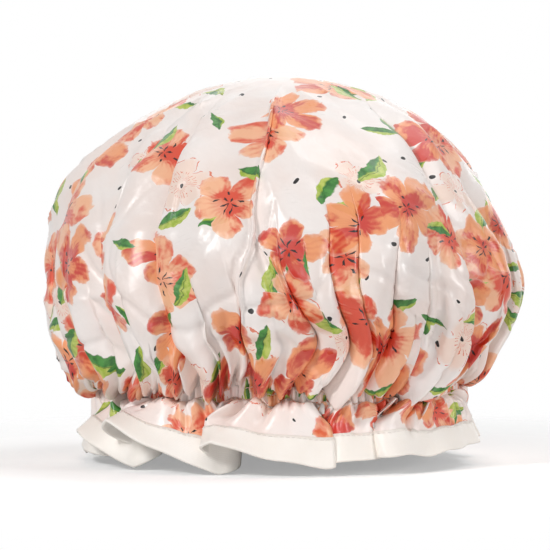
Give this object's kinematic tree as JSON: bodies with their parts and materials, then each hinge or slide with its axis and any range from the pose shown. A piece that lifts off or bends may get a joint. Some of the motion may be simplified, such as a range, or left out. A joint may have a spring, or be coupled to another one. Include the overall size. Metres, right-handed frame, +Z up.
{
  "type": "shower cap",
  "caption": "Bouffant shower cap: a full gathered satin crown with a waterproof lining on an elastic ring, and a fluted frill with a folded hem binding.",
  "frame": {"origin": "on the table, under the middle of the cap's outline as it stands on its frill", "axes": "+Z up through the middle of the crown, -Y towards the front that the picture shows, +X to the right in it"},
  "size_m": [0.2524, 0.252, 0.2021],
  "materials": {
    "satin": "glossy printed polyester satin, white ground with coral blossoms and green leaves",
    "lining": "soft translucent white waterproof film",
    "elastic": "white braided elastic",
    "binding": "ivory satin binding, low gloss",
    "thread": "ivory polyester sewing thread"
  },
  "bodies": {
    "root": {"satin_crown": "satin", "satin_frill": "satin", "lining_crown": "lining", "lining_frill": "lining", "elastic_band": "elastic", "hem_binding": "binding", "channel_seam_upper": "thread", "channel_seam_lower": "thread", "hem_seam": "thread"}
  },
  "joints": []
}
